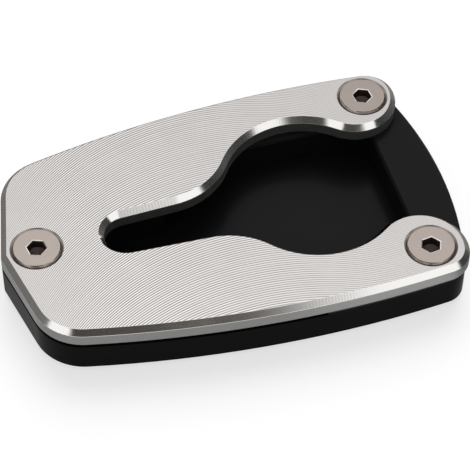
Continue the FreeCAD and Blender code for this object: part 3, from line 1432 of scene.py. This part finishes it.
@dataclass
class Studio:
    """Pale floor, even light from all round, one soft key from behind and a few dark cards."""

    floor_size: float = 6.0
    floor_colour: Colour = (0.37, 0.37, 0.37)
    floor_lift: float = 0.66
    dome: float = 0.45
    key: float = 2.2
    key_spread: float = math.radians(52.0)
    key_from: Triple = (0.198, 0.608, 0.769)
    cards: tuple[Card, ...] = (
        Card(
            "card_front", start=(-1.189, -1.071), end=(0.599, -1.483), foot=0.62, height=1.1,
            start_colour=(0.066, 0.060, 0.054), end_colour=(0.150, 0.138, 0.127),
            start_soft=0.28, end_soft=0.53, turns_from=0.4,
        ),
        Card(
            "card_right", start=(0.188, -0.158), end=(0.28, 0.20), height=0.165,
            start_colour=(0.032, 0.032, 0.031), end_colour=(0.12, 0.12, 0.115),
            start_soft=0.040, end_soft=0.05,
        ),
        Card(
            "card_left", start=(-0.13, 0.24), end=(-0.248, -0.052), height=0.17,
            start_colour=(0.16, 0.158, 0.152), end_colour=(0.155, 0.153, 0.146),
            start_soft=0.05, end_soft=0.030,
        ),
        Card(
            "card_table", start=(0.050, -0.12), end=(0.45, -0.12), foot=0.001, depth=0.5,
            start_colour=(0.19, 0.19, 0.182), end_colour=(0.17, 0.17, 0.162),
            start_soft=0.014, end_soft=0.06,
        ),
        Card(
            "card_back", start=(-0.30, 0.040), end=(0.14, 0.040), foot=0.0014, depth=0.3,
            start_colour=(0.15, 0.15, 0.143), end_colour=(0.20, 0.20, 0.193),
            start_soft=0.03, end_soft=0.03,
        ),
        Card(
            "card_side", start=(-0.30, -0.08), end=(-0.058, -0.08), foot=0.0006, depth=0.12,
            start_colour=(0.55, 0.55, 0.54), end_colour=(0.55, 0.55, 0.54),
            start_soft=0.03, end_soft=0.005,
        ),
    )

    def seen(self, sheet: Sheet) -> Socket:
        """Tell the rays that show the background: from the camera, a gloss or a glass.

        Args:
            sheet: the tree of the floor or the world.

        Returns:
            The socket of what is 1 for them.
        """
        path = sheet.add("ShaderNodeLightPath").outputs
        rays = ("Is Camera Ray", "Is Glossy Ray", "Is Transmission Ray")
        return sheet.fold("MAXIMUM", *(path[ray] for ray in rays))

    def build(self) -> None:
        """Make the floor, the world, the key and the cards."""
        self.floor()
        self.world()
        self.key_light()
        for card in self.cards:
            card.build()

    def floor(self) -> bpy.types.Object:
        """Make the floor: white to the eye, pale to the light, with the part's shadow on it.

        Returns:
            The floor object.
        """
        coat = Coat("pale_floor", metallic=0.0, roughness=1.0, level=0.0)
        coat.feed("Base Color", (*self.floor_colour, 1.0))
        coat.feed("Emission Color", (*WHITE, 1.0))
        lift = coat.sheet.maths("MULTIPLY", self.seen(coat.sheet), self.floor_lift)
        coat.feed("Emission Strength", lift)
        reach = self.floor_size / 2.0
        corners = [(-reach, -reach, 0), (reach, -reach, 0), (reach, reach, 0), (-reach, reach, 0)]
        mesh = bpy.data.meshes.new("floor")
        mesh.from_pydata(corners, [], [(0, 1, 2, 3)])
        mesh.materials.append(coat.material)
        floor = stand("floor", mesh)
        return floor

    def world(self) -> None:
        """Make the dome: white where it is seen, and an even soft light on everything."""
        world = bpy.data.worlds.new("studio")
        world.use_nodes = True
        sheet = Sheet(world.node_tree)
        background = world.node_tree.nodes["Background"]
        sheet.feed(background.inputs["Color"], (*WHITE, 1.0))
        sheet.feed(background.inputs["Strength"], sheet.spread(self.seen(sheet), self.dome, 1.0))
        world.cycles.sampling_method = "NONE"
        bpy.context.scene.world = world

    def key_light(self) -> bpy.types.Object:
        """Make the soft key that throws the part's shadow towards the camera.

        Returns:
            The lamp object.
        """
        data = bpy.data.lights.new("soft_key", "SUN")
        data.energy = self.key
        data.angle = self.key_spread
        lamp = stand("soft_key", data)
        lamp.rotation_mode = "QUATERNION"
        lamp.rotation_quaternion = Vector(self.key_from).to_track_quat("Z", "Y")
        lamp.visible_glossy = False
        return lamp


def base_plate() -> CadPlate:
    """Choose the base plate's finishes.

    Returns:
        The plate, ready to be built.
    """
    face = BlackAnodised().make()
    wall = BlackAnodised(
        name="black_anodised_wall", light=(0.0105,) * 3, dark=(0.007,) * 3, roughness=0.3, level=0.016
    ).make()
    # Painted shade: a darker, matte band of wall under the top plate, where the gap between the plates
    # shades it.
    joint_shade = BlackAnodised(
        name="black_anodised_joint_shade", light=(0.004,) * 3, dark=(0.0025,) * 3, roughness=0.8, level=0.0
    ).make()
    lip = BlackAnodised(
        name="black_anodised_lip", light=(0.004,) * 3, dark=(0.0025,) * 3, roughness=0.2, level=0.6
    ).make()
    return CadPlate("base_plate", Slot.BLACK, arris=0.1 * MM, finishes={
        Region.UPPER_FACE: face,
        Region.BEVEL: wall,
        Region.WALL: wall,
        Region.UNDERSIDE: face,
        Region.SEAT: wall,
        Region.JOINT_SHADE: joint_shade,
        Region.LIP: lip,
    })


def top_plate() -> CadPlate:
    """Choose the top plate's finishes.

    Returns:
        The plate, ready to be built.
    """
    return CadPlate("top_plate", Slot.SILVER, finishes={
        Region.UPPER_FACE: FaceMilled().make(),
        Region.BEVEL: BrightCut().make(),
        Region.WALL: SideMilled().make(),
        Region.UNDERSIDE: SideMilled(name="underside_silver").make(),
        Region.SEAT: SeatCut().make(),
    })


def screw_finishes() -> dict[str, bpy.types.Material]:
    """Make the finishes of a screw.

    Returns:
        The material for each of the screw tree's material inputs.
    """
    return {
        "Steel": TurnedSteel().make(),
        "Painted Highlight Edge": PaintedEdge().make(),
        # Painted dark reflection along the narrow facet at the edge of the head's face, in patches.
        "Painted Dark Edge": PaintedEdge(
            name="painted_dark_screw_edge", light=(0.5, 0.44, 0.41), dark=(0.06, 0.05, 0.046)
        ).make(),
        "Socket Shade": SocketShade().make(),
    }


def main() -> None:
    """Build the camera, the pieces and the studio in order and report each."""
    logging.basicConfig(level=logging.INFO, format="%(name)s: %(message)s")
    bpy.context.scene.view_settings.view_transform = "Standard"
    CameraRig().build()
    axes = [screw_axis(node) for node in SCREW_TURNS]
    base = base_plate()
    pieces = [base.build(axes), top_plate().build(axes)]
    screw = SocketScrew()
    finishes = screw_finishes()
    for node, turn in SCREW_TURNS.items():
        pieces.append(screw.build(node, turn, finishes))
    pieces.append(TappedHoles().build(axes, base.finishes[Region.WALL]))
    for piece in pieces:
        LOG.info("%s: %d faces", piece.name, len(piece.data.polygons))
    Studio().build()


if __name__ == "__main__":
    main()
